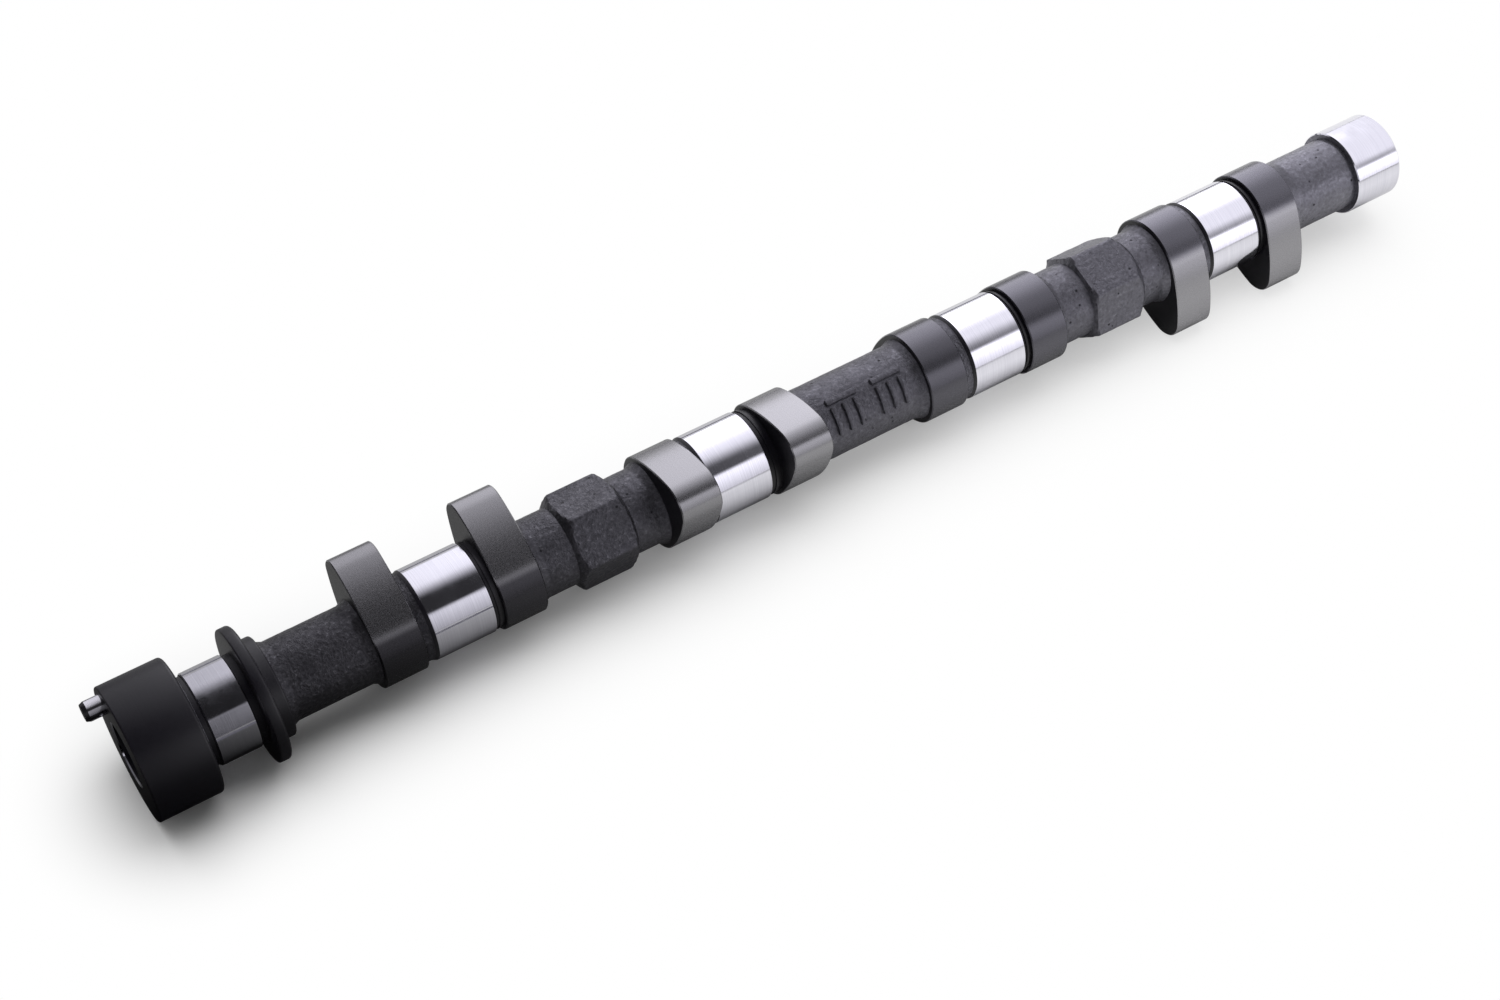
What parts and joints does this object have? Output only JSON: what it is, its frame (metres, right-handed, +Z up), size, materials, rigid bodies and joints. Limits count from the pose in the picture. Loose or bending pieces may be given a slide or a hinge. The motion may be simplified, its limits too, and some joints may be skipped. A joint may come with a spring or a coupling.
{
  "type": "camshaft",
  "caption": "Overhead camshaft of an inline engine: cast and ground shaft with paired cam lobes, bearing journals, thrust flange, wrench hexes and a dowelled nose boss.",
  "frame": {"origin": "on the surface that the shaft lies on, under the middle of its whole length with the pin", "axes": "+X along the shaft from nose to tail, +Z up, -Y toward the side that the picture shows"},
  "size_m": [0.45, 0.0408, 0.0408],
  "materials": {
    "cast_iron": "as cast and phosphated charcoal, with ground lobes and polished journals",
    "hardened_steel": "ground bright"
  },
  "bodies": {
    "root": {"camshaft": "cast_iron", "dowel_pin": "hardened_steel"}
  },
  "joints": []
}
